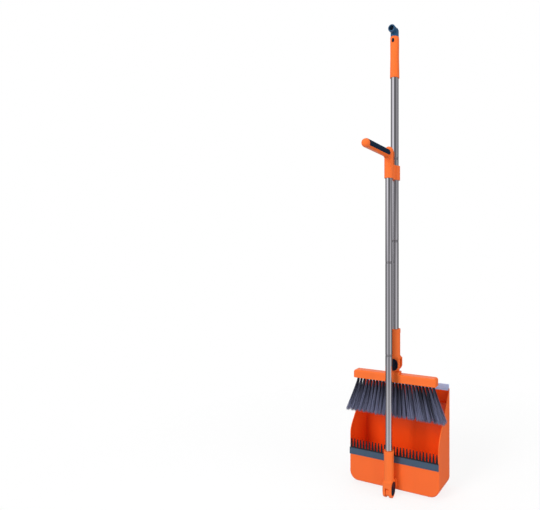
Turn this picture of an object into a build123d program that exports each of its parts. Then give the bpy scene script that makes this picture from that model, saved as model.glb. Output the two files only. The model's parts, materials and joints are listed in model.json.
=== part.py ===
from build123d import *
import os

# A long-handled dust pan and brush set, stored upright: the pan's mouth is up, its handle is folded
# flat over the hood, and the broom is clipped behind the handle with its bristles in the pan's mouth.
# Millimetres. X is to the right, Y goes back from the carrying bar to the pan's floor, and Z is up.
# The origin is on the floor, in the middle of the set's footprint. The set stands on the handle's
# fork in front and on the pan's rear edge behind.

# --- pan ---
PAN_WIDTH = 262.0
PAN_DEPTH = 102.0  # outside, hood face to floor
HOOD_BOTTOM = 9.5  # the rear wall's height where it meets the hood
HEEL_BOTTOM = -0.4  # and where it meets the floor, before that edge is rounded
FLOOR_END = 266.0  # height of the floor's front edge
WALL_TOP = 268.0  # height of the side walls' front ends
LIP_TIP = 279.0
SIDE_WALL = 2.2
FLOOR_WALL = 2.6
REAR_CORNER = 25.0  # radius of the pan's two rear corners
EDGE_ROUND = 4.5
WALL_TURN = 150.0  # height at which the side walls' front edge leaves the hood's plane
WALL_SWEEP = 66.0  # radius of that bend
WALL_END = 4.0  # the side walls' depth where their sweep ends
WALL_END_Z = 262.5
WALL_END_SWEEP = 10.0
WALL_TIP_DEPTH = 3.0
RAMP_START = 226.0
RAMP_CREST = 234.0
RAMP_HEIGHT = 5.0
RAMP_ROUND = 3.0
COLUMN_RADIUS = 24.0  # half-round stiffener up the inside of the rear wall
COLUMN_RISE = 12.0

# --- comb on the hood's edge ---
COMB_BOTTOM = 81.5
COMB_TOP = 100.5
COMB_SKIN = 1.3
COMB_WEB = 4.0  # the comb's solid bar above the hood's edge
COMB_SIDE_GAP = 0.4
TOOTH_COUNT = 28
TOOTH_LENGTH = 24.0
TOOTH_ROOT = 6.2
TOOTH_WAIST = 4.5
TOOTH_WAIST_UP = 10.8
TOOTH_TIP = 1.8
TOOTH_THICKNESS = 2.6

# --- lip on the floor's front edge ---
LIP_OVERLAP = 4.5
LIP_TONGUE = 1.2
LIP_EDGE = 0.9

# --- hinges: a fork on each tube and a tongue on what it carries ---
FORK_THICKNESS = 25.4
FORK_SLOT = 11.0
FORK_ROUND = 2.2
COLLAR_PROUD = 0.7
COLLAR_HEIGHT = 11.0
COLLAR_ROUND = 0.6
TUBE_SEAT = 45.0  # the tube's end above the pin
TONGUE_THICKNESS = 9.6
TONGUE_SHARE = 0.8  # the tongue's round end, as a share of the cheek's
SLOT_ROOF_GAP = 2.2  # between the tongue's round end and the slot's roof
FOOT_GAP = 0.8  # between the cheeks and the tongue's foot
FOOT_CORNER = 4.0
BOLT_RADIUS = 2.5
BOLT_CLEARANCE = 0.06
BOLT_HEAD_RADIUS = 4.6
BOLT_HEAD_HEIGHT = 3.2
BOLT_SOCKET = 2.0  # half the width of the hexagon in the bolt's head
BOLT_SOCKET_DEPTH = 1.8
NUT_ACROSS = 8.0
NUT_HEIGHT = 3.2
HINGE_CAP_DEPTH = 1.8
HINGE_CAP_PROUD = 0.7
HINGE_CAP_ROUND = 0.6
SCREW_RADIUS = 1.5
SCREW_HEAD_RADIUS = 3.2
SCREW_HEAD_HEIGHT = 2.2
SCREW_HEAD_ROUND = 1.2

# --- pan handle; the fork's heights are above its pin ---
PAN_PIN_OUT = 23.0  # the pin in front of the hood face
PAN_FORK_RADIUS = 14.2
PAN_FORK_FLAT = 28.5  # the cheeks' straight sides
PAN_FORK_SHOULDER = 33.0
PAN_SOCKET_RADIUS = 13.0
PAN_SOCKET_TOP = 109.5
PAN_HINGE_CAP = (24.0, 35.0, 10.0)  # width, height and rise of its centre
PAN_FOOT = 4.5
PAN_FOOT_SPAN = (1.5, 27.0)  # the foot's lower and upper edges
PAN_TONGUE_SPAN = (2.0, 13.5)  # the tongue's edges where it meets the foot
PAN_SCREW_ACROSS = 8.6
PAN_SCREW_HEIGHTS = (14.0, 23.0)
SCREW_SHORT = 0.6  # a screw stops this far inside the foot's outer face
PAN_PIN_Z = PAN_FORK_RADIUS
HANDLE_TUBE_RADIUS = 9.5
HANDLE_JOINTS = [375.5, 621.5]
BRACKET_BOTTOM = 844.5
SLEEVE_RADIUS = 12.2
DOME_CENTRE = 916.5
HANDLE_TUBE_TOP = 918.5
GRIP_BAR_Z = 908.5
GRIP_BAR_RADIUS = 10.9
GRIP_BAR_REACH = 134.0  # the tip's centre in front of the tube's axis
BAR_FILLET = 7.0  # under the bar, where it meets the sleeve
GUSSET_HALF = 6.5
GUSSET_BITE = 2.0  # its overlap into the sleeve and the bar
PAD_NEAR = 15.0
PAD_FAR = 134.0
PAD_THICKNESS = 1.9
PAD_PROUD = 0.5
PAD_BELOW = 6.0  # the pad's side edges below the bar's centre
PAD_CORNER = 4.5
CLIP_TOP = 883.0
CLIP_WALL = 3.4
CLIP_CLEARANCE = 0.35
CLIP_MOUTH = 17.0
WEB_HALF = 8.0
WEB_STOP = 0.8

# --- where the pieces stand, front to back ---
PAN_CENTRE_Y = (PAN_PIN_OUT + GRIP_BAR_REACH + GRIP_BAR_RADIUS) / 2
HOOD_FACE = PAN_CENTRE_Y - PAN_DEPTH / 2
FLOOR_FACE = PAN_CENTRE_Y + PAN_DEPTH / 2
FLOOR_TOP = FLOOR_FACE - FLOOR_WALL
HOOD_INSIDE = HOOD_FACE + SIDE_WALL
INNER_HALF = PAN_WIDTH / 2 - SIDE_WALL
HOOD_EDGE = COMB_TOP - COMB_WEB
HANDLE_Y = HOOD_FACE - PAN_PIN_OUT
TUBE_SPACING = 39.0
BROOM_Y = HANDLE_Y + TUBE_SPACING

# --- broom; the fork's heights are above its pin ---
BROOM_TUBE_RADIUS = 11.0
BROOM_PIN_Z = 342.5
BROOM_FORK_RADIUS = 18.2
BROOM_FORK_FLAT = 19.0
BROOM_FORK_SHOULDER = 25.0
BROOM_SOCKET_RADIUS = 15.2
BROOM_SOCKET_TOP = 97.0
BROOM_HINGE_CAP = (29.0, 33.0, 1.7)
BROOM_JOINTS = [678.5, 902.5]
GRIP_BOTTOM = 1123.5
GRIP_TOP = 1235.0
GRIP_RADIUS = 12.2
GRIP_FLARE = 0.7
GRIP_RIM = 1.0
BROOM_TUBE_TOP = 1195.0
EYE_Z = 1251.5
EYE_RADIUS = 10.2
ELBOW_RADIUS = 11.2
EYE_REACH = 23.0
EYE_HOLE = 7.0
EYE_ROUND = 2.0
SPIGOT_RADIUS = 9.8
SPIGOT_BOTTOM = 1201.0
SPIGOT_BORE = 7.2
SPIGOT_ROOF = 4.0
BUTTON_Z = 1223.0
BUTTON_WIDTH = 6.8
BUTTON_HEIGHT = 10.8
BUTTON_PROUD = 0.9
BUTTON_DEPTH = 7.4
BUTTON_GAP = 0.4
BUTTON_ROUND = 0.8
BLOCK_LENGTH = 242.0
BLOCK_DEPTH = 26.0
BLOCK_HEIGHT = 22.0
BLOCK_TOP = 318.0
BLOCK_CORNER = 7.0
BLOCK_RIM = 4.0
BLOCK_UNDER_RIM = 1.0
BLOCK_BOTTOM = BLOCK_TOP - BLOCK_HEIGHT
BROOM_FOOT_SUNK = 2.0
BROOM_REACH = BROOM_PIN_Z - BLOCK_TOP + BROOM_FOOT_SUNK
BROOM_FOOT = BROOM_REACH - BROOM_FORK_RADIUS - FOOT_GAP
BROOM_FOOT_HALF = 17.0
BROOM_FOOT_DEPTH = 11.0
BROOM_TONGUE_HALF = 11.0
BROOM_SCREW_ACROSS = 12.0
BROOM_SCREW_DOWN = 8.0  # the screw's head below the foot
BROOM_SCREW_LENGTH = 13.0
BRISTLE_LENGTH = 100.0
BRISTLE_ROOT_WIDTH = 226.0
BRISTLE_TIP_WIDTH = 294.0
BRISTLE_ROOT_DEPTH = 20.0
BRISTLE_TIP_DEPTH = 24.0

# --- tubes ---
TUBE_WALL = 0.8
JOINT_RING = 6.0  # the band of coupler that shows between two tube sections
RING_INSET = 0.25
COUPLER_PLUG = 28.0
COUPLER_BORE = 3.5

PARTS = {}


def part_node(name, shape):
    """Keep one node, under the name of its file."""
    PARTS[name] = shape


def along_y(sketch, y_from, y_to):
    """A sketch drawn in (x, z), carried from y_from to y_to."""
    plane = Plane(origin=(0, y_from, 0), x_dir=(1, 0, 0), z_dir=(0, -1, 0))
    return extrude(plane * sketch, amount=y_to - y_from, dir=(0, 1, 0))


def along_x(sketch, x_from, x_to):
    """A sketch drawn in (y, z), carried from x_from to x_to."""
    plane = Plane(origin=(x_from, 0, 0), x_dir=(0, 1, 0), z_dir=(1, 0, 0))
    return extrude(plane * sketch, amount=x_to - x_from, dir=(1, 0, 0))


def upright(radius, low, high):
    """A cylinder about Z from low to high."""
    return Pos(0, 0, (low + high) / 2) * Cylinder(radius, high - low)


def rod_x(radius, x_from, x_to, y=0.0, z=0.0):
    """A cylinder about a line along X."""
    return along_x(Pos(y, z) * Circle(radius), x_from, x_to)


def rod_y(radius, y_from, y_to, x=0.0, z=0.0):
    """A cylinder about a line along Y."""
    return along_y(Pos(x, z) * Circle(radius), y_from, y_to)


def block_between(low, high):
    """A box between two corners."""
    size = [b - a for a, b in zip(low, high)]
    middle = [(a + b) / 2 for a, b in zip(low, high)]
    return Pos(*middle) * Box(*size)


# ---------------------------------------------------------------- pan


def pan_outline(inset, y):
    """The pan's section at y: straight sides, a flat bottom and two round rear corners."""
    share = (y - HOOD_FACE) / PAN_DEPTH
    low = HOOD_BOTTOM + share * (HEEL_BOTTOM - HOOD_BOTTOM) + inset
    outline = Pos(0, (low + LIP_TIP) / 2) * Rectangle(PAN_WIDTH - 2 * inset, LIP_TIP - low)
    outline = fillet(outline.vertices().sort_by(Axis.Y)[:2], REAR_CORNER - inset)
    return Plane(origin=(0, y, 0), x_dir=(1, 0, 0), z_dir=(0, -1, 0)) * outline


def rounded_pan_block(inset, front, back, radius):
    """The section carried from front to back, with the edges of both faces rounded."""
    solid = loft([pan_outline(inset, front), pan_outline(inset, back)], ruled=True)
    faces = solid.faces().sort_by(Axis.Y)
    edges = [e for f in (faces[0], faces[-1]) for e in f.edges() if e.center().Z < FLOOR_END]
    return fillet(edges, radius)


def pan_side_profile():
    """The pan seen from its side, in (y, z): a tall rear, and walls that sweep down to the lip."""
    profile = Polygon(
        (HOOD_FACE, HEEL_BOTTOM),
        (HOOD_FACE, WALL_TURN),
        (FLOOR_FACE - WALL_END, WALL_END_Z),
        (FLOOR_FACE - WALL_TIP_DEPTH, WALL_TOP),
        (FLOOR_FACE, WALL_TOP),
        (FLOOR_FACE, HEEL_BOTTOM),
        align=None,
    )
    turns = [v for v in profile.vertices().sort_by(Axis.Y) if HEEL_BOTTOM < v.Y < WALL_TOP]
    low_turn, high_turn = turns
    profile = fillet(low_turn, WALL_SWEEP)
    high_turn = [v for v in profile.vertices() if abs(v.Y - high_turn.Y) < 0.01]
    return fillet(high_turn, WALL_END_SWEEP)


def pan_shell():
    outer = rounded_pan_block(0, HOOD_FACE, FLOOR_FACE, EDGE_ROUND)
    room = rounded_pan_block(SIDE_WALL, HOOD_INSIDE, FLOOR_TOP, EDGE_ROUND - SIDE_WALL)
    body = outer & along_x(pan_side_profile(), -PAN_WIDTH, PAN_WIDTH)
    mouth = block_between((-INNER_HALF, HOOD_FACE - 1, HOOD_EDGE), (INNER_HALF, HOOD_INSIDE + 4, LIP_TIP))
    floor_end = block_between((-INNER_HALF, PAN_CENTRE_Y, FLOOR_END), (INNER_HALF, FLOOR_FACE, LIP_TIP + 1))
    shell = body - room - mouth - floor_end
    # the ramp behind the lip, which keeps the sweepings in
    ramp = Polygon(
        (FLOOR_TOP + 0.5, RAMP_START),
        (FLOOR_TOP, RAMP_START),
        (FLOOR_TOP - RAMP_HEIGHT, RAMP_CREST),
        (FLOOR_TOP, FLOOR_END - LIP_OVERLAP),
        (FLOOR_TOP + 0.5, FLOOR_END - LIP_OVERLAP),
        align=None,
    )
    ramp = fillet(ramp.vertices().sort_by(Axis.X)[0], RAMP_ROUND)
    shell += along_x(ramp, -INNER_HALF - 0.5, INNER_HALF + 0.5)
    column_z = HOOD_BOTTOM + SIDE_WALL + COLUMN_RISE - COLUMN_RADIUS
    shell += outer & rod_y(COLUMN_RADIUS, HOOD_INSIDE - 0.5, FLOOR_TOP + 0.5, z=column_z)
    # the floor's front edge is thinned to a tongue that the lip grips
    thin = (FLOOR_WALL - LIP_TONGUE) / 2
    low = FLOOR_END - LIP_OVERLAP
    for y in (FLOOR_TOP - 0.5, FLOOR_FACE - thin):
        shell -= block_between((-INNER_HALF, y, low), (INNER_HALF, y + thin + 0.5, FLOOR_END + 1))
    for x, z in pan_screw_places():
        shell -= rod_y(SCREW_RADIUS, HOOD_FACE - 1, HOOD_INSIDE + 1, x=x, z=z + PAN_PIN_Z)
    return shell


def pan_lip():
    low = FLOOR_END - LIP_OVERLAP
    corners = [(FLOOR_TOP, low), (FLOOR_FACE, low), (FLOOR_FACE, LIP_TIP), (FLOOR_FACE - LIP_EDGE, LIP_TIP)]
    blade = Polygon(*corners, align=None)
    thin = (FLOOR_WALL - LIP_TONGUE) / 2
    groove = block_between(
        (-PAN_WIDTH, FLOOR_TOP + thin, low - 1), (PAN_WIDTH, FLOOR_FACE - thin, FLOOR_END)
    )
    return along_x(blade, -INNER_HALF, INNER_HALF) - groove


def comb_tooth():
    """One tooth in (x, z), from the bar upwards, tapered to a blunt point."""
    return Polygon(
        (-TOOTH_ROOT / 2, 0),
        (TOOTH_ROOT / 2, 0),
        (TOOTH_WAIST / 2, TOOTH_WAIST_UP),
        (TOOTH_TIP / 2, TOOTH_LENGTH),
        (-TOOTH_TIP / 2, TOOTH_LENGTH),
        (-TOOTH_WAIST / 2, TOOTH_WAIST_UP),
        align=None,
    )


def pan_comb():
    front = HOOD_FACE - COMB_SKIN
    back = HOOD_INSIDE + COMB_SKIN
    clear = INNER_HALF - EDGE_ROUND + SIDE_WALL
    bar = block_between((-clear, front, COMB_BOTTOM), (clear, back, COMB_TOP))
    bar += block_between((-INNER_HALF, front, HOOD_EDGE), (INNER_HALF, HOOD_INSIDE, COMB_TOP))
    face_half = PAN_WIDTH / 2 - COMB_SIDE_GAP
    bar += block_between((-face_half, front, COMB_BOTTOM), (face_half, HOOD_FACE, COMB_TOP))
    bar -= block_between((-PAN_WIDTH, HOOD_FACE, COMB_BOTTOM - 1), (PAN_WIDTH, HOOD_INSIDE, HOOD_EDGE))
    bar = fillet([e for e in bar.edges().filter_by(Axis.X) if e.center().Y < front + 0.01], 0.8)
    pitch = (2 * INNER_HALF - TOOTH_ROOT - 1) / (TOOTH_COUNT - 1)
    middle = (front + back) / 2
    for n in range(TOOTH_COUNT):
        x = (n - (TOOTH_COUNT - 1) / 2) * pitch
        tooth = Pos(x, COMB_TOP - 0.5) * comb_tooth()
        bar += along_y(tooth, middle - TOOTH_THICKNESS / 2, middle + TOOTH_THICKNESS / 2)
    return bar


# ---------------------------------------------------------------- hinges, about a pin along X at the origin


def stadium(width, height):
    """An upright slot shape of this width and height."""
    return Rot(0, 0, 90) * SlotOverall(height, width)


def fork(radius, flat, shoulder, socket_radius, socket_top, tube_radius, cap):
    """Two cheeks about the pin, drawn in above them to a round socket for the tube."""
    half = FORK_THICKNESS / 2
    cheek = Circle(radius) + Pos(0, flat / 2) * Rectangle(2 * radius, flat)
    body = along_x(cheek, -half, half)
    sides = body.faces().sort_by(Axis.X)
    body = fillet(sides[0].edges() + sides[-1].edges(), FORK_ROUND)
    base = Plane.XY.offset(flat - FORK_ROUND) * RectangleRounded(FORK_THICKNESS, 2 * radius, FORK_ROUND)
    neck = Plane.XY.offset(shoulder) * Circle(socket_radius)
    body += loft([base, neck])
    body += upright(socket_radius, shoulder, socket_top)
    collar = upright(socket_radius + COLLAR_PROUD, socket_top - COLLAR_HEIGHT, socket_top)
    body += fillet(collar.edges(), COLLAR_ROUND)
    body -= upright(tube_radius, TUBE_SEAT, socket_top + 1)
    slot = FORK_SLOT / 2
    roof = TONGUE_SHARE * radius + SLOT_ROOF_GAP
    body -= block_between((-slot, -radius - 1, -radius - 1), (slot, radius + 1, roof))
    body -= rod_x(BOLT_RADIUS, -half - 1, half + 1)
    for side in (-1, 1):
        body -= cap_plate(cap, side, half + 1)
    body -= rod_x(BOLT_HEAD_RADIUS, half - HINGE_CAP_DEPTH - BOLT_HEAD_HEIGHT, half)
    body -= nut_body(0.0)
    return body


def cap_plate(cap, side, face):
    """The oval of a hinge cap, from the floor of its recess out to face; side is -1 or 1."""
    width, height, rise = cap
    floor = FORK_THICKNESS / 2 - HINGE_CAP_DEPTH
    return along_x(Pos(0, rise) * stadium(width, height), *sorted((side * floor, side * face)))


def nut_body(bore):
    """The hexagon of the nut, on the left cheek, with a bore when one is asked for."""
    outer = -(FORK_THICKNESS / 2 - HINGE_CAP_DEPTH)
    nut = along_x(RegularPolygon(NUT_ACROSS / 2, 6, major_radius=False), outer, outer + NUT_HEIGHT)
    if bore:
        nut -= rod_x(bore, outer - 1, outer + NUT_HEIGHT + 1)
    return nut


def hinge_bolt():
    outer = FORK_THICKNESS / 2 - HINGE_CAP_DEPTH
    bolt = rod_x(BOLT_RADIUS, -outer, outer - BOLT_HEAD_HEIGHT)
    head = rod_x(BOLT_HEAD_RADIUS, outer - BOLT_HEAD_HEIGHT, outer)
    socket = RegularPolygon(BOLT_SOCKET, 6, major_radius=False)
    return bolt + head - along_x(socket, outer - BOLT_SOCKET_DEPTH, outer + 1)


def hinge_cap(cap, side):
    """The oval cover plate on one cheek, rounded at its edge."""
    plate = cap_plate(cap, side, FORK_THICKNESS / 2 + HINGE_CAP_PROUD)
    outer = plate.faces().sort_by(Axis.X)[-1 if side > 0 else 0]
    return fillet(outer.edges(), HINGE_CAP_ROUND)


def tongue(radius, reach, plate_span, foot_thickness, foot_span, depth_half):
    """The plate between the cheeks, from the pin out along -Z to its foot, reach from the pin.

    The spans are the lower and upper edges, across the plate, of the plate at its foot and of the
    foot itself."""
    half = TONGUE_THICKNESS / 2
    low, high = plate_span
    plate = Circle(radius) + Polygon((-radius, 0), (radius, 0), (high, -reach), (low, -reach), align=None)
    body = along_x(plate, -half, half)
    low, high = foot_span
    foot = block_between((-depth_half, low, -reach), (depth_half, high, foot_thickness - reach))
    body += fillet(foot.edges().filter_by(Axis.Z), FOOT_CORNER)
    return body - rod_x(BOLT_RADIUS + BOLT_CLEARANCE, -half - 1, half + 1)


def pan_screw_places():
    """Where the screws through the pan tongue's foot are, across and up from the pin."""
    return [(x, z) for x in (-PAN_SCREW_ACROSS, PAN_SCREW_ACROSS) for z in PAN_SCREW_HEIGHTS]


def foot_screw(x, y, under_head, length):
    """A round-headed screw along +Z, its head below under_head."""
    head = Pos(x, y, under_head - SCREW_HEAD_HEIGHT / 2) * Cylinder(SCREW_HEAD_RADIUS, SCREW_HEAD_HEIGHT)
    head = fillet(head.edges().sort_by(Axis.Z)[0], SCREW_HEAD_ROUND)
    shank = Pos(x, y, under_head + length / 2) * Cylinder(SCREW_RADIUS, length)
    return head + shank


# ---------------------------------------------------------------- tubes


def tube_stack(prefix, radius, low, joints, high):
    """Three steel tube sections about Z, with a coupler at each joint whose middle band shows."""
    ends = [low]
    for z in joints:
        ends += [z - JOINT_RING / 2, z + JOINT_RING / 2]
    ends.append(high)
    inner = radius - TUBE_WALL
    for n, name in enumerate(("lower", "middle", "upper")):
        a, b = ends[2 * n], ends[2 * n + 1]
        yield f"{prefix}_tube_{name}", upright(radius, a, b) - upright(inner, a - 1, b + 1)
    for z, name in zip(joints, ("lower", "upper")):
        plug = upright(inner, z - COUPLER_PLUG, z + COUPLER_PLUG)
        ring = upright(radius - RING_INSET, z - JOINT_RING / 2, z + JOINT_RING / 2)
        yield f"{prefix}_coupler_{name}", plug + ring - upright(COUPLER_BORE, z - 99, z + 99)


# ---------------------------------------------------------------- carrying bracket, about the handle's tube


def grip_pad():
    """A soft saddle over the top and sides of the carrying bar, with round-cornered ends."""
    outer = rod_y(GRIP_BAR_RADIUS + PAD_PROUD, -PAD_FAR, -PAD_NEAR, z=GRIP_BAR_Z)
    inner = rod_y(GRIP_BAR_RADIUS + PAD_PROUD - PAD_THICKNESS, -PAD_FAR - 1, -PAD_NEAR + 1, z=GRIP_BAR_Z)
    height = 2 * GRIP_BAR_RADIUS + PAD_BELOW
    side = RectangleRounded(PAD_FAR - PAD_NEAR, height, PAD_CORNER)
    side = Pos(-(PAD_NEAR + PAD_FAR) / 2, GRIP_BAR_Z - PAD_BELOW + height / 2) * side
    return (outer - inner) & along_x(side, -2 * GRIP_BAR_RADIUS, 2 * GRIP_BAR_RADIUS)


def bracket():
    sleeve = upright(SLEEVE_RADIUS, BRACKET_BOTTOM, DOME_CENTRE)
    dome = Pos(0, 0, DOME_CENTRE) * Sphere(SLEEVE_RADIUS)
    bar = rod_y(GRIP_BAR_RADIUS, -GRIP_BAR_REACH, 0, z=GRIP_BAR_Z)
    tip = Pos(0, -GRIP_BAR_REACH, GRIP_BAR_Z) * Sphere(GRIP_BAR_RADIUS)
    corner_y = -SLEEVE_RADIUS
    corner_z = GRIP_BAR_Z - GRIP_BAR_RADIUS
    leg = BAR_FILLET + GUSSET_BITE
    middle = GUSSET_BITE - leg / 2
    gusset = Pos(corner_y + middle, corner_z + middle) * Rectangle(leg, leg)
    gusset -= Pos(corner_y - BAR_FILLET, corner_z - BAR_FILLET) * Circle(BAR_FILLET)
    body = sleeve + dome + bar + tip + along_x(gusset, -GUSSET_HALF, GUSSET_HALF)
    clip_inner = BROOM_TUBE_RADIUS + CLIP_CLEARANCE
    clip_outer = clip_inner + CLIP_WALL
    ring = Pos(0, TUBE_SPACING) * upright(clip_outer, BRACKET_BOTTOM, CLIP_TOP)
    web_end = TUBE_SPACING - clip_inner - WEB_STOP
    web = block_between((-WEB_HALF, 0, BRACKET_BOTTOM), (WEB_HALF, web_end, CLIP_TOP))
    body += ring + web
    body -= Pos(0, TUBE_SPACING) * upright(clip_inner, BRACKET_BOTTOM - 1, CLIP_TOP + 1)
    mouth = CLIP_MOUTH / 2
    far = TUBE_SPACING + clip_outer + 5
    body -= block_between((-mouth, TUBE_SPACING, BRACKET_BOTTOM - 1), (mouth, far, CLIP_TOP + 1))
    body -= upright(HANDLE_TUBE_RADIUS, BRACKET_BOTTOM - 1, HANDLE_TUBE_TOP)
    return body - grip_pad()


# ---------------------------------------------------------------- broom, about its tube


def button_oval(grow):
    """The release button's outline in (x, z)."""
    return Pos(0, BUTTON_Z) * stadium(BUTTON_WIDTH + 2 * grow, BUTTON_HEIGHT + 2 * grow)


def broom_grip():
    profile = [
        (0, GRIP_BOTTOM),
        (GRIP_RADIUS + GRIP_FLARE, GRIP_BOTTOM),
        (GRIP_RADIUS + GRIP_FLARE, GRIP_BOTTOM + 6),
        (GRIP_RADIUS - 0.2, GRIP_BOTTOM + 55),
        (GRIP_RADIUS, GRIP_TOP - 8),
        (GRIP_RADIUS - 0.1, GRIP_TOP),
        (0, GRIP_TOP),
    ]
    grip = revolve(Plane.XZ * make_face(Polyline(*profile, close=True)), Axis.Z)
    rims = grip.edges().filter_by(GeomType.CIRCLE).group_by(Axis.Z)
    grip = fillet(rims[0] + rims[-1], GRIP_RIM)
    grip -= upright(BROOM_TUBE_RADIUS, GRIP_BOTTOM - 1, BROOM_TUBE_TOP)
    grip -= upright(SPIGOT_RADIUS, BROOM_TUBE_TOP - 1, GRIP_TOP + 1)
    return grip - along_y(button_oval(BUTTON_GAP), -GRIP_RADIUS - 3, 0)


def hanger_cap():
    """A cap that bends forward into a hanging eye, on a hollow spigot inside the grip."""
    neck = upright(ELBOW_RADIUS, GRIP_TOP, EYE_Z)
    head = Pos(0, 0, EYE_Z) * Sphere(ELBOW_RADIUS)
    nose = rod_y(EYE_RADIUS, -EYE_REACH, 0, z=EYE_Z)
    nose = fillet(nose.faces().sort_by(Axis.Y)[0].edges(), EYE_ROUND)
    spigot = upright(SPIGOT_RADIUS, SPIGOT_BOTTOM, GRIP_TOP)
    spigot -= upright(SPIGOT_BORE, SPIGOT_BOTTOM - 1, GRIP_TOP - SPIGOT_ROOF)
    spigot -= along_y(button_oval(BUTTON_GAP), -GRIP_RADIUS - 3, 0)
    return neck + head + nose + spigot - rod_y(EYE_HOLE, -EYE_REACH - 1, ELBOW_RADIUS + 1, z=EYE_Z)


def cap_button():
    """The oval snap button that holds the cap in the grip, domed where it shows."""
    front = -GRIP_RADIUS - BUTTON_PROUD
    button = along_y(button_oval(0), front, front + BUTTON_DEPTH)
    return fillet(button.faces().sort_by(Axis.Y)[0].edges(), BUTTON_ROUND)


def broom_block():
    outline = Pos(0, BLOCK_TOP - BLOCK_HEIGHT / 2) * Rectangle(BLOCK_LENGTH, BLOCK_HEIGHT)
    outline = fillet(outline.vertices().sort_by(Axis.Y)[-2:], BLOCK_CORNER)
    half = BLOCK_DEPTH / 2
    block = along_y(outline, -half, half)
    faces = block.faces().sort_by(Axis.Y)
    rims = faces[0].edges() + faces[-1].edges()
    upper = [e for e in rims if e.center().Z > BLOCK_BOTTOM + BLOCK_HEIGHT / 2 + 1]
    block = fillet(upper, BLOCK_RIM)
    underside = block.faces().sort_by(Axis.Z)[0]
    block = fillet(underside.edges(), BLOCK_UNDER_RIM)
    return block - broom_tongue_body() - broom_screw_solids()


def broom_tongue_body():
    """The tongue with its foot let into the top of the block, turned so that its pin runs along Y."""
    plate = (-BROOM_TONGUE_HALF, BROOM_TONGUE_HALF)
    foot = (-BROOM_FOOT_HALF, BROOM_FOOT_HALF)
    body = tongue(TONGUE_SHARE * BROOM_FORK_RADIUS, BROOM_REACH, plate, BROOM_FOOT, foot, BROOM_FOOT_DEPTH)
    return Pos(0, 0, BROOM_PIN_Z) * Rot(0, 0, 90) * body


def broom_screw_solids():
    """Two screws up through the block into the foot, their heads sunk in its underside."""
    under_head = BROOM_PIN_Z - BROOM_REACH - BROOM_SCREW_DOWN
    places = (-BROOM_SCREW_ACROSS, BROOM_SCREW_ACROSS)
    screws = [foot_screw(x, 0, under_head, BROOM_SCREW_LENGTH) for x in places]
    return screws[0] + screws[1]


def screw_wells():
    """The holes below the sunk screw heads, open to the underside."""
    under_head = BROOM_PIN_Z - BROOM_REACH - BROOM_SCREW_DOWN
    top = under_head - SCREW_HEAD_HEIGHT + SCREW_HEAD_ROUND + 0.1
    well = upright(SCREW_HEAD_RADIUS, BLOCK_BOTTOM - 1, top)
    return [Pos(x, 0) * well for x in (-BROOM_SCREW_ACROSS, BROOM_SCREW_ACROSS)]


def bristle_pack():
    """A plain wedge for the whole pack of bristles, wider at its tips."""
    root = Plane.XY.offset(BLOCK_BOTTOM) * Rectangle(BRISTLE_ROOT_WIDTH, BRISTLE_ROOT_DEPTH)
    tip = Plane.XY.offset(BLOCK_BOTTOM - BRISTLE_LENGTH) * Rectangle(BRISTLE_TIP_WIDTH, BRISTLE_TIP_DEPTH)
    return loft([tip, root])


# ---------------------------------------------------------------- the nodes

def build_pan():
    part_node("pan_shell", pan_shell())
    part_node("pan_comb", pan_comb())
    part_node("pan_lip", pan_lip())
    lay_back = Pos(0, HANDLE_Y, PAN_PIN_Z) * Rot(90, 0, 0)
    part_node("pan_hinge_tongue", lay_back * pan_tongue())
    inside = -PAN_PIN_OUT - SIDE_WALL
    screws = [foot_screw(x, y, inside, SIDE_WALL + PAN_FOOT - SCREW_SHORT) for x, y in pan_screw_places()]
    part_node("pan_tongue_screws", Compound([lay_back * s for s in screws]))


def pan_tongue():
    """The pan's tongue, with the holes for its screws."""
    radius = TONGUE_SHARE * PAN_FORK_RADIUS
    body = tongue(radius, PAN_PIN_OUT, PAN_TONGUE_SPAN, PAN_FOOT, PAN_FOOT_SPAN, FORK_THICKNESS / 2)
    for x, y in pan_screw_places():
        body -= Pos(x, y) * upright(SCREW_RADIUS, -PAN_PIN_OUT - 1, -PAN_PIN_OUT + PAN_FOOT - SCREW_SHORT)
    return body


def build_hinge(prefix, place, cap):
    part_node(f"{prefix}_hinge_bolt", place * hinge_bolt())
    part_node(f"{prefix}_hinge_nut", place * nut_body(BOLT_RADIUS))
    part_node(f"{prefix}_hinge_cap_a", place * hinge_cap(cap, 1))
    part_node(f"{prefix}_hinge_cap_b", place * hinge_cap(cap, -1))


def build_handle():
    place = Pos(0, HANDLE_Y, PAN_PIN_Z)
    socket = fork(
        PAN_FORK_RADIUS, PAN_FORK_FLAT, PAN_FORK_SHOULDER, PAN_SOCKET_RADIUS, PAN_SOCKET_TOP,
        HANDLE_TUBE_RADIUS, PAN_HINGE_CAP,
    )
    part_node("handle_socket", place * socket)
    build_hinge("handle", place, PAN_HINGE_CAP)
    axis = Pos(0, HANDLE_Y, 0)
    low = PAN_PIN_Z + TUBE_SEAT
    for name, shape in tube_stack("handle", HANDLE_TUBE_RADIUS, low, HANDLE_JOINTS, HANDLE_TUBE_TOP):
        part_node(name, axis * shape)
    part_node("handle_bracket", axis * bracket())
    part_node("handle_grip_pad", axis * grip_pad())


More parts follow.
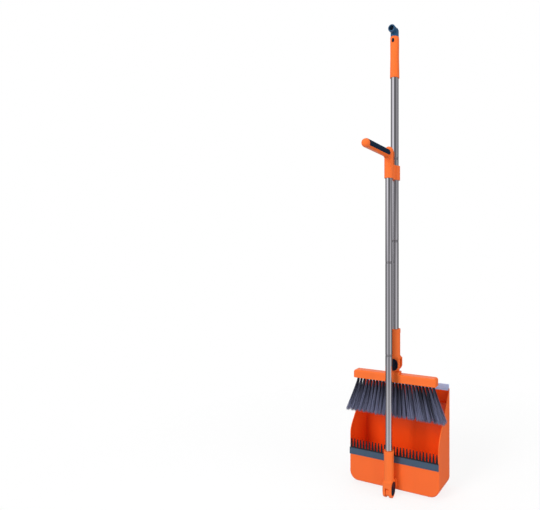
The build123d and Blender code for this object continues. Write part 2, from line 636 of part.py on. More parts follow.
def build_broom():
    place = Pos(0, BROOM_Y, BROOM_PIN_Z) * Rot(0, 0, -90)
    socket = fork(
        BROOM_FORK_RADIUS, BROOM_FORK_FLAT, BROOM_FORK_SHOULDER, BROOM_SOCKET_RADIUS, BROOM_SOCKET_TOP,
        BROOM_TUBE_RADIUS, BROOM_HINGE_CAP,
    )
    part_node("broom_socket", place * socket)
    build_hinge("broom", place, BROOM_HINGE_CAP)
    axis = Pos(0, BROOM_Y, 0)
    low = BROOM_PIN_Z + TUBE_SEAT
    for name, shape in tube_stack("broom", BROOM_TUBE_RADIUS, low, BROOM_JOINTS, BROOM_TUBE_TOP):
        part_node(name, axis * shape)
    part_node("broom_grip", axis * broom_grip())
    part_node("hanger_cap", axis * hanger_cap())
    part_node("cap_button", axis * cap_button())
    block = broom_block()
    for well in screw_wells():
        block -= well
    part_node("broom_block", axis * block)
    part_node("broom_hinge_tongue", axis * (broom_tongue_body() - broom_screw_solids()))
    part_node("broom_tongue_screws", axis * broom_screw_solids())
    part_node("broom_bristles", axis * bristle_pack())


build_pan()
build_handle()
build_broom()
os.makedirs("parts", exist_ok=True)
for name, shape in PARTS.items():
    export_step(shape, f"parts/{name}.step")
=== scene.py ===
import json
import math

import bpy
import numpy as np
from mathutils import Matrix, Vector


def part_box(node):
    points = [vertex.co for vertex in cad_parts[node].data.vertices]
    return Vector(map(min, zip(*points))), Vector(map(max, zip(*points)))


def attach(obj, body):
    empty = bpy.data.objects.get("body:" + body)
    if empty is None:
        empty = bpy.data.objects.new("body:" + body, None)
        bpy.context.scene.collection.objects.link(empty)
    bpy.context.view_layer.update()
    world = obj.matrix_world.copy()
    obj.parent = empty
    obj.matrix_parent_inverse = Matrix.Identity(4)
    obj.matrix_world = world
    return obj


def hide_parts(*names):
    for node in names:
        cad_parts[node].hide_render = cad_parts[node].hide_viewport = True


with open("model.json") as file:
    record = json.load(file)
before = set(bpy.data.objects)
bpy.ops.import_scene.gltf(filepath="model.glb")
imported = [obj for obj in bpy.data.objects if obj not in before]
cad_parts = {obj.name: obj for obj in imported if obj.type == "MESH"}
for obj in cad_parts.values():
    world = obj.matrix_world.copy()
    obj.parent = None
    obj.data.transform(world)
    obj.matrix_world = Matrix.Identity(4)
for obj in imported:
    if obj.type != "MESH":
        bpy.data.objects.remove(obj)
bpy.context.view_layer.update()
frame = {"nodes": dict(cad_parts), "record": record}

bl_info = {
    "name": "Dust Pan and Brush Set",
    "version": (1, 0, 0),
    "blender": (4, 5, 0),
    "location": "3D View > Sidebar > Dust Pan",
    "description": "Builds the visible pieces, finishes and stage of a long-handled dust pan and broom",
    "category": "Add Mesh",
}

NODES = frame["nodes"]
MM = 0.001


def size_of(node):
    """The lowest corner, the highest corner and the middle of a CAD node, as arrays."""
    low, high = (np.array(corner, float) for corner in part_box(node))
    return low, high, (low + high) / 2


# ---------------------------------------------------------------- settings


class StageSettings(bpy.types.PropertyGroup):
    view_azimuth: bpy.props.FloatProperty(
        name="View azimuth", description="How far round to the right the camera stands",
        default=math.radians(23.5), subtype="ANGLE", unit="ROTATION",
    )
    view_distance: bpy.props.FloatProperty(
        name="View distance", description="From the hood's face to the camera",
        default=1.18, unit="LENGTH",
    )
    view_height: bpy.props.FloatProperty(
        name="View height", description="Height of the level camera above the floor",
        default=0.6545, unit="LENGTH",
    )
    floor_radius: bpy.props.FloatProperty(
        name="Floor radius", description="Radius of the pale floor",
        default=1.1, unit="LENGTH",
    )
    floor_colour: bpy.props.FloatVectorProperty(
        name="Floor colour", description="Colour of the floor",
        default=(0.95, 0.95, 0.95), subtype="COLOR",
    )


class FinishSettings(bpy.types.PropertyGroup):
    orange: bpy.props.FloatVectorProperty(
        name="Orange", description="Colour of the orange mouldings",
        default=(0.93, 0.168, 0.027), subtype="COLOR",
    )
    # painted bounce light: the deeper, redder orange that light bouncing round inside the pan gives its
    # inner faces
    bounce_lit_tray: bpy.props.FloatVectorProperty(
        name="Tray", description="Deeper orange of the pan's inner faces",
        default=(0.98, 0.070, 0.005), subtype="COLOR",
    )
    navy: bpy.props.FloatVectorProperty(
        name="Navy", description="Colour of the dark blue mouldings",
        default=(0.003, 0.011, 0.027), subtype="COLOR",
    )
    # painted light: a brighter copy of the navy moulding, lit where the cap catches the sky
    sky_lit_cap: bpy.props.FloatVectorProperty(
        name="Cap", description="Brighter blue of the hanging cap",
        default=(0.014, 0.080, 0.175), subtype="COLOR",
    )
    comb: bpy.props.FloatVectorProperty(
        name="Comb", description="Colour of the comb",
        default=(0.036, 0.068, 0.112), subtype="COLOR",
    )
    pad: bpy.props.FloatVectorProperty(
        name="Pad", description="Colour of the pad on the carrying bar",
        default=(0.003, 0.013, 0.030), subtype="COLOR",
    )
    lip: bpy.props.FloatVectorProperty(
        name="Lip", description="Colour of the soft lip",
        default=(0.55, 0.63, 0.94), subtype="COLOR",
    )
    steel: bpy.props.FloatVectorProperty(
        name="Steel", description="Colour of the stainless tubes",
        default=(0.77, 0.76, 0.79), subtype="COLOR",
    )


class BristleSettings(bpy.types.PropertyGroup):
    columns: bpy.props.IntProperty(
        name="Columns", description="Tufts along the block",
        default=24, min=2,
    )
    rows: bpy.props.IntProperty(
        name="Rows", description="Tufts across the block",
        default=2, min=1,
    )
    fibres: bpy.props.IntProperty(
        name="Fibres", description="Fibres in one tuft",
        default=86, min=3,
    )
    thickness: bpy.props.FloatProperty(
        name="Thickness", description="Radius of a fibre at its root",
        default=0.42 * MM, unit="LENGTH", precision=5,
    )
    # the dark root colour is painted shade under the block
    shaded_root_tone: bpy.props.FloatVectorProperty(
        name="Root colour", description="Colour of the fibres at the block",
        default=(0.012, 0.013, 0.026), subtype="COLOR",
    )
    tip_tone: bpy.props.FloatVectorProperty(
        name="Tip colour", description="Colour of the fibres at their tips",
        default=(0.28, 0.30, 0.48), subtype="COLOR",
    )


# ---------------------------------------------------------------- node graph helpers

# a colour Mix node's two colour inputs and its colour output
FIRST, SECOND, MIXED = 6, 7, 2


def material(name, colour, roughness, **sockets):
    """A new Principled material with its constant values set on the shader's own sockets."""
    made = bpy.data.materials.new(name)
    made.use_nodes = True
    shader = made.node_tree.nodes["Principled BSDF"]
    shader.inputs["Base Color"].default_value = (*colour, 1.0)
    shader.inputs["Roughness"].default_value = roughness
    for socket, value in sockets.items():
        shader.inputs[socket.replace("_", " ")].default_value = value
    return made, made.node_tree, shader


def add(tree, kind, links=None, **values):
    """A node of this kind. values set its attributes; links fill its inputs, by name or index."""
    node = tree.nodes.new(kind)
    for key, value in values.items():
        setattr(node, key, value)
    for key, value in (links or {}).items():
        if hasattr(value, "is_linked"):
            tree.links.new(value, node.inputs[key])
        else:
            node.inputs[key].default_value = value
    return node


def noise(tree, scale, detail=3.0, roughness=0.5, stretch=(1, 1, 1)):
    """Noise on Object coordinates, stretched along the axes; scale is in cells per metre."""
    place = add(tree, "ShaderNodeTexCoord").outputs["Object"]
    mapped = add(tree, "ShaderNodeMapping", {"Vector": place, "Scale": stretch}).outputs["Vector"]
    links = {"Vector": mapped, "Scale": scale, "Detail": detail, "Roughness": roughness}
    return add(tree, "ShaderNodeTexNoise", links)


def mixed(tree, share, first, second):
    """A colour from first to second by share; each is three numbers or a socket."""
    first, second = (c if hasattr(c, "is_linked") else (*c, 1.0) for c in (first, second))
    links = {"Factor": share, FIRST: first, SECOND: second}
    return add(tree, "ShaderNodeMix", links, data_type="RGBA").outputs[MIXED]


def paint(tree, shader, colour):
    """Links a colour socket to the shader's base colour."""
    tree.links.new(colour, shader.inputs["Base Color"])


def spread(tree, value, low=0.0, high=1.0, start=0.0, end=1.0):
    """A value between start and end mapped to low to high, and held at low and high outside them."""
    links = {"Value": value, "From Min": start, "From Max": end, "To Min": low, "To Max": high}
    return add(tree, "ShaderNodeMapRange", links).outputs["Result"]


def bump(tree, shader, height, distance, strength=1.0, below=None):
    """A bump of this depth in metres, on top of any bump below it."""
    links = {"Height": height, "Distance": distance, "Strength": strength}
    if below is not None:
        links["Normal"] = below
    out = add(tree, "ShaderNodeBump", links).outputs["Normal"]
    tree.links.new(out, shader.inputs["Normal"])
    return out


# ---------------------------------------------------------------- finishes


BOX_STEP = 0.2 * MM  # half the depth of the step at the box's faces


def inside_box(tree, low, high):
    """1 inside a box in Object coordinates and 0 outside it, with a soft step at its faces."""
    place = add(tree, "ShaderNodeTexCoord").outputs["Object"]
    middle, half = (low + high) / 2, (high - low) / 2
    away = add(tree, "ShaderNodeVectorMath", {0: place, 1: middle}, operation="SUBTRACT").outputs["Vector"]
    away = add(tree, "ShaderNodeVectorMath", {0: away}, operation="ABSOLUTE").outputs["Vector"]
    past = add(tree, "ShaderNodeVectorMath", {0: away, 1: half}, operation="SUBTRACT").outputs["Vector"]
    x, y, z = add(tree, "ShaderNodeSeparateXYZ", {0: past}).outputs
    most = add(tree, "ShaderNodeMath", {0: x, 1: y}, operation="MAXIMUM").outputs["Value"]
    most = add(tree, "ShaderNodeMath", {0: most, 1: z}, operation="MAXIMUM").outputs["Value"]
    return spread(tree, most, start=BOX_STEP, end=-BOX_STEP)


def moulded(name, colour, roughness, mottle=0.06, inner=None, **sockets):
    """Moulded plastic: faint flow mottling, a fine spark-eroded grain and slow waviness of the skin.
    inner is a colour of painted bounce light, with the two corners of the box it fills."""
    made, tree, shader = material(name, colour, roughness, **sockets)
    flow = noise(tree, 22, detail=4, stretch=(1, 1, 0.35)).outputs["Fac"]
    darker = tuple(c * (1 - 2 * mottle) for c in colour)
    lighter = tuple(min(1.0, c * (1 + mottle)) for c in colour)
    shown = mixed(tree, flow, darker, lighter)
    # painted bounce light: inside the box the faces take the deeper orange
    if inner:
        painted_bounce, low, high = inner
        shown = mixed(tree, inside_box(tree, low, high), shown, painted_bounce)
    paint(tree, shader, shown)
    grain = noise(tree, 1800, detail=2)
    tree.links.new(spread(tree, flow, roughness - 0.06, roughness + 0.08), shader.inputs["Roughness"])
    slow = bump(tree, shader, noise(tree, 9, detail=1).outputs["Fac"], 0.6 * MM, 0.35)
    bump(tree, shader, grain.outputs["Fac"], 0.05 * MM, 0.5, slow)
    return made


PAINTED_SHADE_DEPTH = 0.12  # what is left of the rubber's colour where painted shade has darkened it


def rubber(name, colour, fade=None, sheen=0.06, **sockets):
    """Soft rubber: matt, with a dusty grain and a little sheen.
    fade is two heights, between which it darkens upwards with painted shade."""
    made, tree, shader = material(name, colour, 0.62, Sheen_Weight=sheen, Sheen_Roughness=0.5, **sockets)
    dust = noise(tree, 140, detail=5, roughness=0.65).outputs["Fac"]
    lighter = tuple(min(1.0, c * 1.45 + 0.004) for c in colour)
    shown = mixed(tree, dust, colour, lighter)
    # painted shade: darker upwards between the two heights
    if fade:
        place = add(tree, "ShaderNodeTexCoord").outputs["Object"]
        height = add(tree, "ShaderNodeSeparateXYZ", {0: place}).outputs["Z"]
        rise = spread(tree, height, start=fade[0], end=fade[1])
        shown = mixed(tree, rise, shown, [c * PAINTED_SHADE_DEPTH for c in colour])
    paint(tree, shader, shown)
    tree.links.new(spread(tree, dust, 0.5, 0.75), shader.inputs["Roughness"])
    bump(tree, shader, noise(tree, 2200, detail=2).outputs["Fac"], 0.06 * MM, 0.6)
    return made


def soft_lip(name, colour):
    """Pale soft plastic that light sinks into, slightly cloudy along its length."""
    made, tree, shader = material(name, colour, 0.34, Subsurface_Weight=0.25, Subsurface_Scale=2 * MM)
    cloud = noise(tree, 30, detail=3, stretch=(0.4, 1, 1)).outputs["Fac"]
    milk = tuple(min(1.0, c * 1.12) for c in colour)
    paint(tree, shader, mixed(tree, cloud, colour, milk))
    bump(tree, shader, noise(tree, 400, detail=2).outputs["Fac"], 0.05 * MM, 0.4)
    return made


def stainless(name, colour, roughness):
    """Drawn stainless tube: fine lines along the length and faint smears where hands have held it."""
    made, tree, shader = material(name, colour, roughness, Metallic=1.0)
    lines = noise(tree, 260, detail=2, stretch=(1, 1, 0.01)).outputs["Fac"]
    smears = noise(tree, 16, detail=4, stretch=(1, 1, 0.3)).outputs["Fac"]
    worn = add(tree, "ShaderNodeMath", {0: lines, 1: smears}, operation="ADD").outputs["Value"]
    half = add(tree, "ShaderNodeMath", {0: worn, 1: 0.5}, operation="MULTIPLY").outputs["Value"]
    tree.links.new(spread(tree, half, roughness - 0.03, roughness + 0.04), shader.inputs["Roughness"])
    paint(tree, shader, mixed(tree, lines, [c * 0.9 for c in colour], colour))
    return made


def plated(name, colour, roughness):
    """Zinc-plated or bright steel with a fine tumbled grain."""
    made, tree, shader = material(name, colour, roughness, Metallic=1.0)
    tumble = noise(tree, 600, detail=4).outputs["Fac"]
    tree.links.new(spread(tree, tumble, roughness, roughness + 0.15), shader.inputs["Roughness"])
    bump(tree, shader, tumble, 0.03 * MM, 0.4)
    return made


def fibre(name, shaded_root_tone, tip_tone):
    """Bristle fibre, darkened at the block with painted shade and paler towards its tip, each fibre a
    little different in tone, with clumps of a tuft painted paler and darker as highlight streaks.
    """
    made, tree, shader = material(name, tip_tone, 0.45, Sheen_Weight=0.1)
    along = add(tree, "ShaderNodeAttribute", attribute_name="along").outputs["Fac"]
    shade = add(tree, "ShaderNodeAttribute", attribute_name="shade").outputs["Fac"]
    # painted shade: dark at the block, paler towards the tip
    rise = spread(tree, along, -0.1, 0.8, start=0.06)
    tone = add(tree, "ShaderNodeMath", {0: rise, 1: shade}, operation="ADD").outputs["Value"]
    paint(tree, shader, mixed(tree, tone, shaded_root_tone, tip_tone))
    return made


FINISHES = {}  # material slot to material, filled by the finishes operator
SHELL_TINT = (1.0, 0.86, 0.76)  # the pan's moulding beside the other orange ones
SHELL_SKIN_LOW = np.array([2.1, 1.0, 0.0]) * MM  # what the tray's inner box of painted bounce light leaves out at its low corner
SHELL_SKIN_HIGH = np.array([2.1, 2.5, 0.0]) * MM  # and at its high corner
COMB_TEETH_SHADE = (16.5 * MM, 19 * MM)  # heights above the comb's lower edge between which it darkens: painted shade on the teeth
RING_COLOUR = (0.48, 0.47, 0.49)
ZINC_COLOUR = (0.62, 0.62, 0.60)


class DUSTPAN_OT_finishes(bpy.types.Operator):
    """Give every CAD piece that stays its finish"""

    bl_idname = "dustpan.finishes"
    bl_label = "Finishes"

    def execute(self, context):
        s = context.scene.dustpan_finish
        FINISHES["orange_plastic"] = moulded("orange_moulding", s.orange, 0.36, Specular_IOR_Level=0.4)
        low, high, _ = size_of("pan_shell")
        # the tray's inner faces get painted bounce light in the deeper orange
        inner = (s.bounce_lit_tray, low + SHELL_SKIN_LOW, high - SHELL_SKIN_HIGH)
        shell = np.array(s.orange) * SHELL_TINT
        bounce_lit_tray = moulded("orange_tray_bounce_lit", shell.tolist(), 0.36, inner=inner, Specular_IOR_Level=0.4)
        # a brighter copy of the navy, painted lit where the cap catches the sky
        sky_lit_cap = moulded("blue_cap_sky_lit", s.sky_lit_cap, 0.24, mottle=0.1, Specular_IOR_Level=0.6)
        navy = moulded("navy_moulding", s.navy, 0.34, mottle=0.1, Specular_IOR_Level=0.22)
        FINISHES["navy_plastic"] = navy
        comb_low = size_of("pan_comb")[0][2]
        # the comb's teeth get painted shade
        fade = [comb_low + up for up in COMB_TEETH_SHADE]
        FINISHES["comb_rubber"] = rubber("comb_rubber", s.comb, fade)
        FINISHES["grip_rubber"] = rubber("grip_rubber", s.pad, sheen=0.0, Specular_IOR_Level=0.15)
        FINISHES["pale_lip"] = soft_lip("pale_lip", s.lip)
        FINISHES["stainless_tube"] = stainless("stainless_tube", s.steel, 0.06)
        FINISHES["coupler"] = plated("coupler_ring", RING_COLOUR, 0.28)
        FINISHES["fastener"] = plated("zinc_plate", ZINC_COLOUR, 0.3)
        b = context.scene.dustpan_bristles
        FINISHES["bristle"] = fibre("bristle_fibre", b.shaded_root_tone, b.tip_tone)
        for row in frame["record"]["subparts"]:
            mesh = NODES[row["node"]].data
            mesh.materials.clear()
            own = {"pan_shell": bounce_lit_tray, "hanger_cap": sky_lit_cap}.get(row["node"])
            mesh.materials.append(own or FINISHES[row["material_slot"]])
        return {"FINISHED"}


# ---------------------------------------------------------------- mesh helpers


def new_piece(name, verts, faces, slot, body, replaced, smooth_angle=35.0):
    """A mesh object at the origin, smooth but for edges sharper than smooth_angle, riding on a body
    in place of the replaced nodes."""
    mesh = bpy.data.meshes.new(name)
    mesh.from_pydata(verts.tolist(), [], faces.tolist() if isinstance(faces, np.ndarray) else faces)
    mesh.validate()
    mesh.shade_smooth()
    mesh.set_sharp_from_angle(angle=math.radians(smooth_angle))
    mesh.materials.append(FINISHES[slot])
    piece = bpy.data.objects.new(name, mesh)
    bpy.context.scene.collection.objects.link(piece)
    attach(piece, body)
    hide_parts(*replaced)
    return piece


def ring_faces(rings, sides, close_rings=False):
    """Quads between the rings of a (rings, sides) grid; the sides wrap round, and the rings if asked."""
    last = rings if close_rings else rings - 1
    i, j = np.meshgrid(np.arange(last), np.arange(sides), indexing="ij")
    up, across = (i + 1) % rings, (j + 1) % sides
    corners = [i * sides + j, i * sides + across, up * sides + across, up * sides + j]
    return np.stack(corners, -1).reshape(-1, 4)


def turned(profile, centre, sides=72):
    """A closed (radius, height) profile turned about an upright axis: x = cx + r cos a, y = cy + r sin a,
    z = h. The profile runs up the outside and down the inside, so that its faces point outwards."""
    a = np.linspace(0, 2 * np.pi, sides, endpoint=False)
    r, h = np.array(profile).T
    x = centre[0] + r[:, None] * np.cos(a)
    y = centre[1] + r[:, None] * np.sin(a)
    z = np.broadcast_to(h[:, None], x.shape)
    return np.stack([x, y, z], -1).reshape(-1, 3), ring_faces(len(r), sides, close_rings=True)


# ---------------------------------------------------------------- tubes


TUBE_WALL = 0.8 * MM
TUBE_EDGE = 0.35 * MM  # chamfer on the wall's ends


def tube_profile(radius, bottom, top):
    """The closed (radius, height) outline of a tube's wall: up at the radius and down one wall inside it,
    with each outer corner cut by the chamfer and each inner one by a flatter cut."""
    inner, edge = radius - TUBE_WALL, TUBE_EDGE
    return [
        (radius - edge, bottom), (radius, bottom + edge), (radius, top - edge), (radius - edge, top),
        (inner + edge / 2, top), (inner, top - edge), (inner, bottom + edge), (inner + edge / 2, bottom),
    ]


class DUSTPAN_OT_tubes(bpy.types.Operator):
    """The six stainless tube sections, with softened ends"""

    bl_idname = "dustpan.tubes"
    bl_label = "Tubes"

    def execute(self, context):
        for body, prefix in (("handle", "handle"), ("broom_pole", "broom")):
            for level in ("lower", "middle", "upper"):
                node = f"{prefix}_tube_{level}"
                low, high, middle = size_of(node)
                profile = tube_profile((high[0] - low[0]) / 2, low[2], high[2])
                verts, faces = turned(profile, middle)
                new_piece(f"{node}_drawn", verts, faces, "stainless_tube", body, [node])
        return {"FINISHED"}


# ---------------------------------------------------------------- bristles


ROOT_SHARE = 0.77  # the pack's width at the block, as a share of its width at the tips
ROOT_MARGIN = 3.0 * MM  # the outer tufts' middles inside the pack's edge, at the block
TIP_MARGIN = 3.6 * MM  # and at the tips
ROW_OUT = 3.0 * MM  # the rows each side of the pack's middle, at the block
ROW_MARGIN = 6.4 * MM  # and inside its edge, at the tips
EDGE_MARGIN = 0.5 * MM  # no fibre's middle comes nearer to the pack's box
TIP_CLEAR = 0.6 * MM  # from the longest fibre's tip to the bottom of the pack's box
TRIM = (1.6, 0.9 * MM)  # how much shorter each fibre is: the shape and scale of a gamma draw
TUFT_TRIM = 1.4 * MM  # and each tuft, at most
TUFT_LEAN = (1.2 * MM, 0.6 * MM)  # how far the tips of a tuft lean together, along and across
FIBRE_LEAN = (1.1 * MM, 0.6 * MM)  # and the tip of one fibre
TUFT_RADIUS = 1.7 * MM
TUFT_SPREAD = (4.4 * MM, 4.0 * MM)  # what is added to that radius by the tips, along and across
WAVE = 0.8 * MM  # the slow wave's height along the block
WAVE_ACROSS = 0.3  # and across it, as a share
THICKNESS_RANGE = (0.85, 1.15)
CLUMP_SHADE = 0.26  # how much paler or darker neighbouring clumps of a tuft are: painted highlight streaks down the tufts
FIBRE_SHADE = (0.02, 0.14)  # the mean and the spread of one fibre's own shade
TUFT_SHADE = 0.07
FIBRE_RINGS = np.array([-0.012, 0.12, 0.32, 0.55, 0.78, 0.93])  # as shares of the way along a fibre
FIBRE_TAPER = np.array([1.0, 1.0, 0.95, 0.9, 0.8, 0.62])  # thickness at those rings
FIBRE_SIDES = 3


def fibre_paths(s, low, high, rng):
    """Where each fibre runs, as x and y at its rings and the drop to its tip, how thick and how pale it is.

    u is 0 at the block and 1 at the tip. A fibre's middle goes from its root to its tip as u^1.2. To that
    is added its place in the tuft, (dx, dy) times a radius that grows as u^0.85, and a slow sine wave."""
    length = high[2] - low[2]
    tip_half, depth_half = (high[0] - low[0]) / 2, (high[1] - low[1]) / 2
    col, row = np.linspace(-1, 1, s.columns), np.linspace(-1, 1, s.rows)
    tuft_u, tuft_v = (g.ravel() for g in np.meshgrid(col, row, indexing="ij"))
    tufts = len(tuft_u)
    count = tufts * s.fibres

    def per_fibre(values):
        return np.repeat(values, s.fibres, axis=0)

    u0, v0 = per_fibre(tuft_u), per_fibre(tuft_v)
    turn, out = rng.uniform(0, 2 * np.pi, count), np.sqrt(rng.uniform(0, 1, count))
    dx, dy = out * np.cos(turn), out * np.sin(turn)
    lean = per_fibre(rng.normal(0, 1, (tufts, 2)))
    x0, y0 = u0 * (tip_half * ROOT_SHARE - ROOT_MARGIN), v0 * ROW_OUT
    x1 = u0 * (tip_half - TIP_MARGIN) + lean[:, 0] * TUFT_LEAN[0] + rng.normal(0, FIBRE_LEAN[0], count)
    y1 = v0 * (depth_half - ROW_MARGIN) + lean[:, 1] * TUFT_LEAN[1] + rng.normal(0, FIBRE_LEAN[1], count)
    short = rng.gamma(*TRIM, count)
    drop = length - TIP_CLEAR - short - per_fibre(rng.uniform(0, TUFT_TRIM, tufts))
    u = FIBRE_RINGS[None, :]
    bend, loose = np.sign(u) * np.abs(u) ** 1.2, np.abs(u) ** 0.85
    wave = np.sin(u * 5.0 + turn[:, None]) * u * (1 - 0.3 * u) * WAVE
    stray_x = dx[:, None] * (TUFT_RADIUS + TUFT_SPREAD[0] * loose) + wave
    stray_y = dy[:, None] * (TUFT_RADIUS + TUFT_SPREAD[1] * loose) + wave[:, ::-1] * WAVE_ACROSS
    x = x0[:, None] + (x1 - x0)[:, None] * bend + stray_x
    y = y0[:, None] + (y1 - y0)[:, None] * bend + stray_y
    x = np.clip(x, EDGE_MARGIN - tip_half, tip_half - EDGE_MARGIN)
    y = np.clip(y, EDGE_MARGIN - depth_half, depth_half - EDGE_MARGIN)
    vary = rng.uniform(*THICKNESS_RANGE, (count, 1))
    # painted highlight streaks: clumps of a tuft paler and darker across it, with the fibres' and tufts'
    # own random tone added
    highlight_streaks = CLUMP_SHADE * np.cos(dx * 8 + per_fibre(rng.uniform(0, 2 * np.pi, tufts)))
    shade = rng.normal(*FIBRE_SHADE, count) + highlight_streaks + per_fibre(rng.normal(0, TUFT_SHADE, tufts))
    return x, y, drop, vary, shade


def bristle_mesh(s, low, high, seed=7):
    """Every fibre is a three-sided rod about its path: (x + r cos a, y + r sin a) at each ring, a third
    of a turn apart, at a height that falls evenly, and then one point at the tip.

    Gives the points, the faces, each point's share of the way along its fibre, and its shade."""
    x, y, drop, vary, shade = fibre_paths(s, low, high, np.random.default_rng(seed))
    count, rings = x.shape
    z = -drop[:, None] * FIBRE_RINGS
    thick = s.thickness * FIBRE_TAPER * vary
    a = np.arange(FIBRE_SIDES) * 2 * np.pi / FIBRE_SIDES
    ring_x = x[..., None] + thick[..., None] * np.cos(a)
    ring_y = y[..., None] + thick[..., None] * np.sin(a)
    ring_z = np.broadcast_to(z[..., None], ring_x.shape)
    body = np.stack([ring_x, ring_y, ring_z], -1).reshape(count, -1, 3)
    point = np.stack([x[:, -1], y[:, -1], -drop], -1)[:, None, :]
    block = np.array([(low[0] + high[0]) / 2, (low[1] + high[1]) / 2, high[2]])
    points = np.concatenate([body, point], 1) + block
    quads = ring_faces(rings, FIBRE_SIDES)[:, ::-1]
    last, tip = (rings - 1) * FIBRE_SIDES, rings * FIBRE_SIDES
    tris = [[last + k, tip, last + (k + 1) % FIBRE_SIDES] for k in range(FIBRE_SIDES)] + [[0, 1, 2]]
    base = np.arange(count)[:, None, None] * (tip + 1)
    faces = (base + quads).reshape(-1, 4).tolist() + (base + np.array(tris)).reshape(-1, 3).tolist()
    along = np.concatenate([np.repeat(np.clip(FIBRE_RINGS, 0, 1), FIBRE_SIDES), [1.0]])
    return points.reshape(-1, 3), faces, np.tile(along, count), np.repeat(shade, tip + 1)


class DUSTPAN_OT_bristles(bpy.types.Operator):
    """The flared pack of bristles, tuft by tuft, in place of its plain wedge"""

    bl_idname = "dustpan.bristles"
    bl_label = "Bristles"

    def execute(self, context):
        low, high, _ = size_of("broom_bristles")
        verts, faces, along, shade = bristle_mesh(context.scene.dustpan_bristles, low, high)
        piece = new_piece("bristle_tufts", verts, faces, "bristle", "broom_head", ["broom_bristles"], 180.0)
        for name, values in (("along", along), ("shade", shade)):
            layer = piece.data.attributes.new(name, "FLOAT", "POINT")
            layer.data.foreach_set("value", values.astype(np.float32))
        return {"FINISHED"}


# ---------------------------------------------------------------- stage


AIM_HEIGHT = 0.45  # where the lamps point, above the floor
# a lamp's name, its metres in front, to the right and up from the aim, its width and height, and its watts
SOFTBOXES = [
    ("key", (1.7, -1.5, 1.0), (0.9, 1.3), 42.0),
    ("fill", (1.3, 2.1, 0.3), (1.2, 1.6), 28.0),
    ("top", (-0.3, 0.0, 2.3), (1.6, 1.6), 16.0),
]
SKY = 0.48  # how bright the even soft sky is
FLOOR_CLEAR = 0.82  # how much of the white background shows through the floor at its middle
FLOOR_FADE = (0.3, 0.98)  # where the floor starts and ends its fade, as shares of its radius
FLOOR_SIDES = 96
FLOOR_BELOW = 0.4 * MM
CAMERA_LENS = 29.13  # in millimetres
CAMERA_SHIFT = (-0.2266, -0.0093)  # to the left and down, as shares of the picture's longer side
PANEL_RISE = (-0.03, 0.14)  # how far a direction of length 1 rises where low panels end and high ones begin
# how bright the studio is round the compass, in degrees from straight behind the set, with 90 on the
# viewer's right: what gloss mirrors high up, and what it mirrors at and below the viewer's height
HIGH_PANELS = [
    (-180, 0.19), (-164, 0.20), (-152, 0.55), (-145, 1.00), (-130, 1.00), (-112, 0.64), (-91, 0.37),
    (-70, 0.16), (-40, 0.12), (-27, 0.14), (-17, 0.78), (17, 0.78), (27, 0.14), (40, 0.14),
    (60, 0.22), (85, 0.27), (105, 0.33), (125, 0.38), (140, 0.24), (155, 0.14), (165, 0.12),
    (180, 0.19),
]
LOW_PANELS = [
    (-180, 0.10), (-165, 0.30), (-147, 0.66), (-130, 0.54), (-112, 0.40), (-90, 0.22), (-70, 0.04),
    (-40, 0.03), (-27, 0.05), (-17, 0.70), (17, 0.70), (27, 0.05), (51, 0.02), (75, 0.10),
    (97, 0.33), (115, 0.50), (130, 0.66), (145, 0.50), (157, 0.33), (170, 0.15), (180, 0.10),
]


def panel_ramp(tree, share, panels):
    """The panels as a colour ramp over the compass."""
    ramp = add(tree, "ShaderNodeValToRGB", {"Fac": share})
    stops = ramp.color_ramp.elements
    for n, (degrees, level) in enumerate(panels):
        position = (degrees + 180) / 360
        stop = stops[0] if n == 0 else stops[-1] if n == len(panels) - 1 else stops.new(position)
        stop.position = position
        stop.color = (level, level * 0.985, level * 1.02, 1)
    return ramp.outputs["Color"]


def studio_world(context):
    """White behind the set, an even soft sky to dull surfaces, and tall light and dark panels for gloss
    to mirror."""
    world = bpy.data.worlds.new("studio")
    context.scene.world = world
    world.use_nodes = True
    tree = world.node_tree
    background = tree.nodes["Background"]
    out = tree.nodes["World Output"]
    azimuth = context.scene.dustpan_stage.view_azimuth
    place = add(tree, "ShaderNodeTexCoord").outputs["Generated"]
    turn = add(tree, "ShaderNodeMapping", {"Vector": place, "Rotation": (0, 0, -azimuth)})
    x, y, z = add(tree, "ShaderNodeSeparateXYZ", {0: turn.outputs["Vector"]}).outputs
    angle = add(tree, "ShaderNodeMath", {0: x, 1: y}, operation="ARCTAN2").outputs["Value"]
    share = spread(tree, angle, start=-math.pi, end=math.pi)
    low, high = (panel_ramp(tree, share, panels) for panels in (LOW_PANELS, HIGH_PANELS))
    panels = mixed(tree, spread(tree, z, start=PANEL_RISE[0], end=PANEL_RISE[1]), low, high)
    ways = add(tree, "ShaderNodeLightPath").outputs
    background.inputs["Color"].default_value = (1, 1, 1, 1)
    sky = add(tree, "ShaderNodeBackground", {"Color": (1, 1, 1, 1), "Strength": SKY})
    mirrored = add(tree, "ShaderNodeBackground", {"Color": panels, "Strength": 1.0})
    links = {0: ways["Is Glossy Ray"], 1: sky.outputs[0], 2: mirrored.outputs[0]}
    soft = add(tree, "ShaderNodeMixShader", links)
    links = {0: ways["Is Camera Ray"], 1: soft.outputs[0], 2: background.outputs[0]}
    final = add(tree, "ShaderNodeMixShader", links)
    tree.links.new(final.outputs[0], out.inputs["Surface"])


def softbox(name, place, aim, size, energy):
    """A rectangular area lamp at place, turned to aim."""
    lamp = bpy.data.lights.new(name, "AREA")
    lamp.shape = "RECTANGLE"
    lamp.size, lamp.size_y = size
    lamp.energy = energy
    holder = bpy.data.objects.new(name, lamp)
    bpy.context.scene.collection.objects.link(holder)
    holder.visible_glossy = False
    holder.location = place
    away = np.array(aim) - np.array(place)
    flat = math.hypot(away[0], away[1])
    holder.rotation_euler = (math.pi / 2 + math.atan2(away[2], flat), 0, math.atan2(-away[0], away[1]))


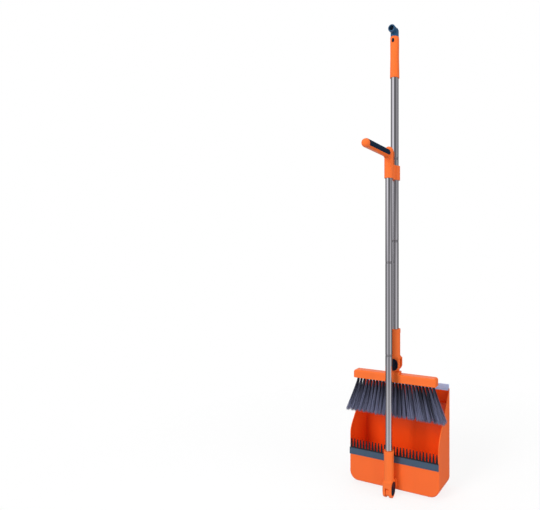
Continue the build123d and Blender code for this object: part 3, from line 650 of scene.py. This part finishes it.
def floor_material(colour, radius):
    """Pale floor that fades into the white background towards its rim."""
    made, tree, shader = material("pale_floor", colour, 0.8, Specular_IOR_Level=0.1)
    place = add(tree, "ShaderNodeTexCoord").outputs["Object"]
    reach = add(tree, "ShaderNodeVectorMath", {0: place}, operation="LENGTH").outputs["Value"]
    start, end = (share * radius for share in FLOOR_FADE)
    fade = spread(tree, reach, low=FLOOR_CLEAR, start=start, end=end)
    clear = add(tree, "ShaderNodeBsdfTransparent")
    links = {0: fade, 1: shader.outputs[0], 2: clear.outputs[0]}
    mix = add(tree, "ShaderNodeMixShader", links)
    tree.links.new(mix.outputs[0], tree.nodes["Material Output"].inputs["Surface"])
    return made


def pale_floor(context, colour, radius):
    """A many-sided disc just under the set, (radius cos a, radius sin a) round the origin."""
    ring = np.arange(FLOOR_SIDES) * 2 * np.pi / FLOOR_SIDES
    height = np.full(FLOOR_SIDES, -FLOOR_BELOW)
    rim = np.stack([radius * np.cos(ring), radius * np.sin(ring), height], -1)
    mesh = bpy.data.meshes.new("floor")
    mesh.from_pydata(rim.tolist(), [], [list(range(FLOOR_SIDES))])
    mesh.materials.append(floor_material(colour, radius))
    floor = bpy.data.objects.new("floor", mesh)
    context.scene.collection.objects.link(floor)


class DUSTPAN_OT_stage(bpy.types.Operator):
    """The pale floor, the studio light and the level camera"""

    bl_idname = "dustpan.stage"
    bl_label = "Stage"

    def execute(self, context):
        s = context.scene.dustpan_stage
        studio_world(context)
        front = np.array([math.sin(s.view_azimuth), -math.cos(s.view_azimuth), 0.0])
        right = np.array([math.cos(s.view_azimuth), math.sin(s.view_azimuth), 0.0])
        up = np.array([0.0, 0.0, 1.0])
        pivot = np.array([0.0, size_of("pan_shell")[0][1], 0.0])
        aim = pivot + up * AIM_HEIGHT
        for name, (forward, sideways, rise), size, energy in SOFTBOXES:
            softbox(name, aim + front * forward + right * sideways + up * rise, aim, size, energy)
        pale_floor(context, s.floor_colour, s.floor_radius)
        camera = bpy.data.cameras.new("camera")
        camera.lens = CAMERA_LENS
        camera.shift_x, camera.shift_y = CAMERA_SHIFT
        holder = bpy.data.objects.new("camera", camera)
        context.scene.collection.objects.link(holder)
        holder.location = pivot + front * s.view_distance + up * s.view_height
        holder.rotation_euler = (math.pi / 2, 0, s.view_azimuth)
        context.scene.camera = holder
        context.scene.view_settings.view_transform = "Standard"
        return {"FINISHED"}


# ---------------------------------------------------------------- panel and registration


class DUSTPAN_PT_pieces(bpy.types.Panel):
    """The pieces of the dust pan and brush set"""

    bl_label = "Dust Pan"
    bl_idname = "DUSTPAN_PT_pieces"
    bl_space_type = "VIEW_3D"
    bl_region_type = "UI"
    bl_category = "Dust Pan"

    def draw(self, context):
        for operator in STEPS:
            self.layout.operator(operator.bl_idname)


SETTINGS = {
    "dustpan_stage": StageSettings,
    "dustpan_finish": FinishSettings,
    "dustpan_bristles": BristleSettings,
}
STEPS = (DUSTPAN_OT_finishes, DUSTPAN_OT_tubes, DUSTPAN_OT_bristles, DUSTPAN_OT_stage)


def register():
    for cls in (*SETTINGS.values(), *STEPS, DUSTPAN_PT_pieces):
        bpy.utils.register_class(cls)
    for name, cls in SETTINGS.items():
        setattr(bpy.types.Scene, name, bpy.props.PointerProperty(type=cls))


def unregister():
    for name in SETTINGS:
        delattr(bpy.types.Scene, name)
    for cls in reversed((*SETTINGS.values(), *STEPS, DUSTPAN_PT_pieces)):
        bpy.utils.unregister_class(cls)


def main():
    register()
    for step in STEPS:
        group, name = step.bl_idname.split(".")
        getattr(getattr(bpy.ops, group), name)()


if __name__ == "__main__":
    main()
